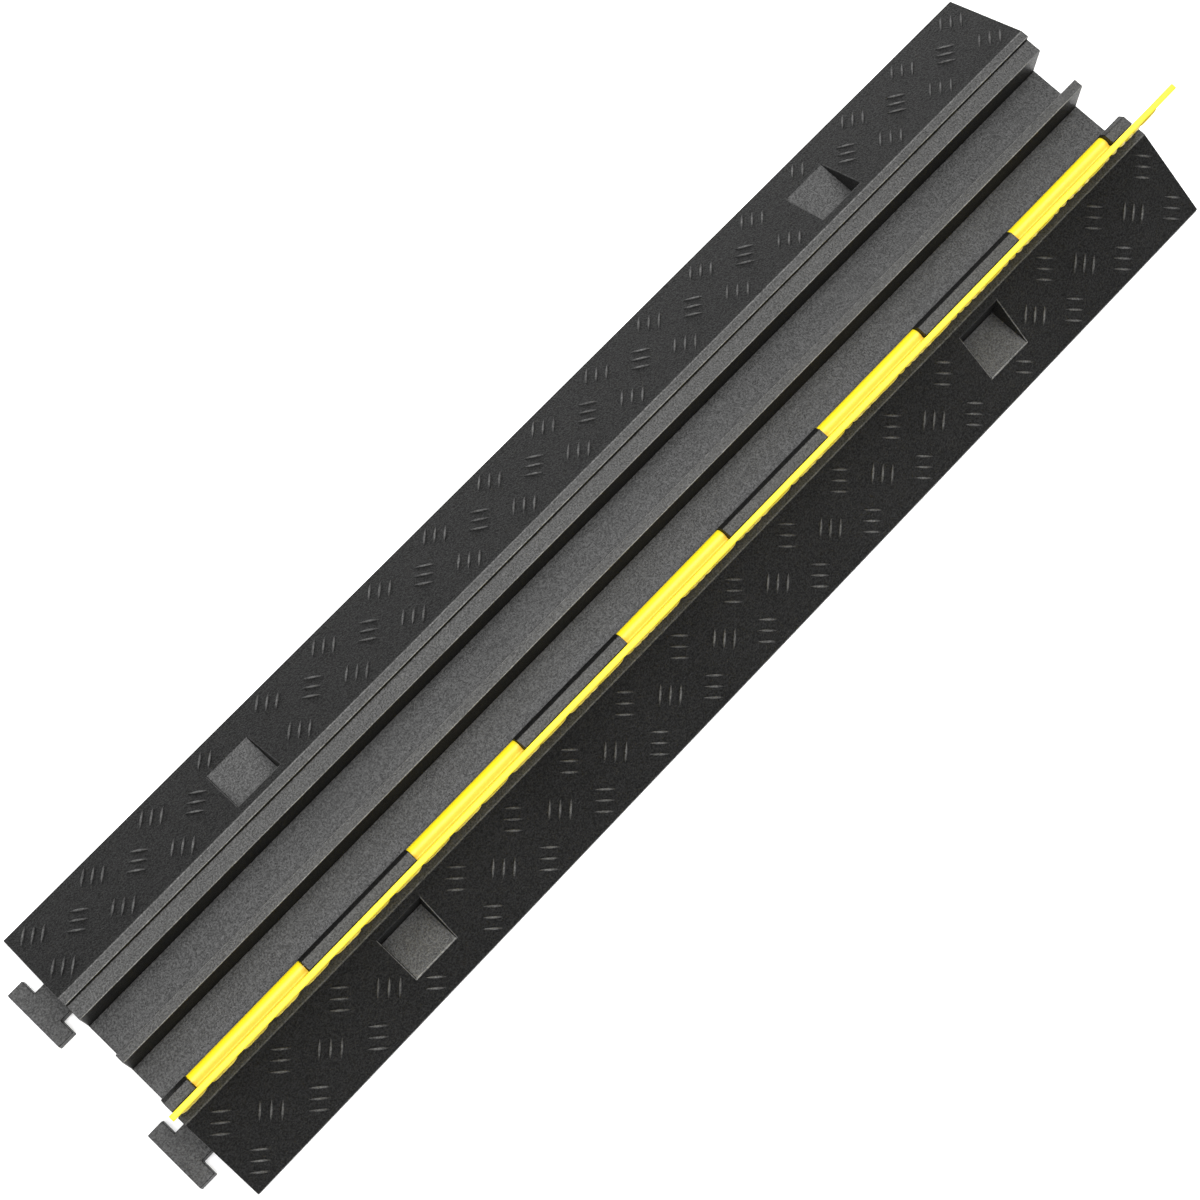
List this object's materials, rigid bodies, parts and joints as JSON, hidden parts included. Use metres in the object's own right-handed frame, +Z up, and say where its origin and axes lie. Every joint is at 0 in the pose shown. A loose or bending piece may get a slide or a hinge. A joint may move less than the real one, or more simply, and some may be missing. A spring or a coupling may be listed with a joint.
{
  "type": "floor cord cover",
  "caption": "Straight rubber floor ramp with side by side cord channels, a long hinged lid standing open, and T shaped tabs that join it to the next length.",
  "frame": {"origin": "middle of the underside, halfway between the two end faces and the two long edges", "axes": "+X along the length, from the end with the tabs to the end with the slots; +Z up; the hinge is on the -Y side"},
  "size_m": [1.0238, 0.25, 0.1252],
  "materials": {
    "rubber": "black, finely grained",
    "yellow_plastic": "bright yellow, satin",
    "steel": "plain"
  },
  "bodies": {
    "base": {"base": "rubber", "hinge_rod": "steel"},
    "lid": {"lid": "yellow_plastic"}
  },
  "joints": [
    {"name": "lid_hinge", "type": "hinge", "parent": "base", "child": "lid", "pos_m": [0, -0.0424, 0.0311], "axis": [1, 0, 0], "range_deg": [-98, 0]}
  ]
}
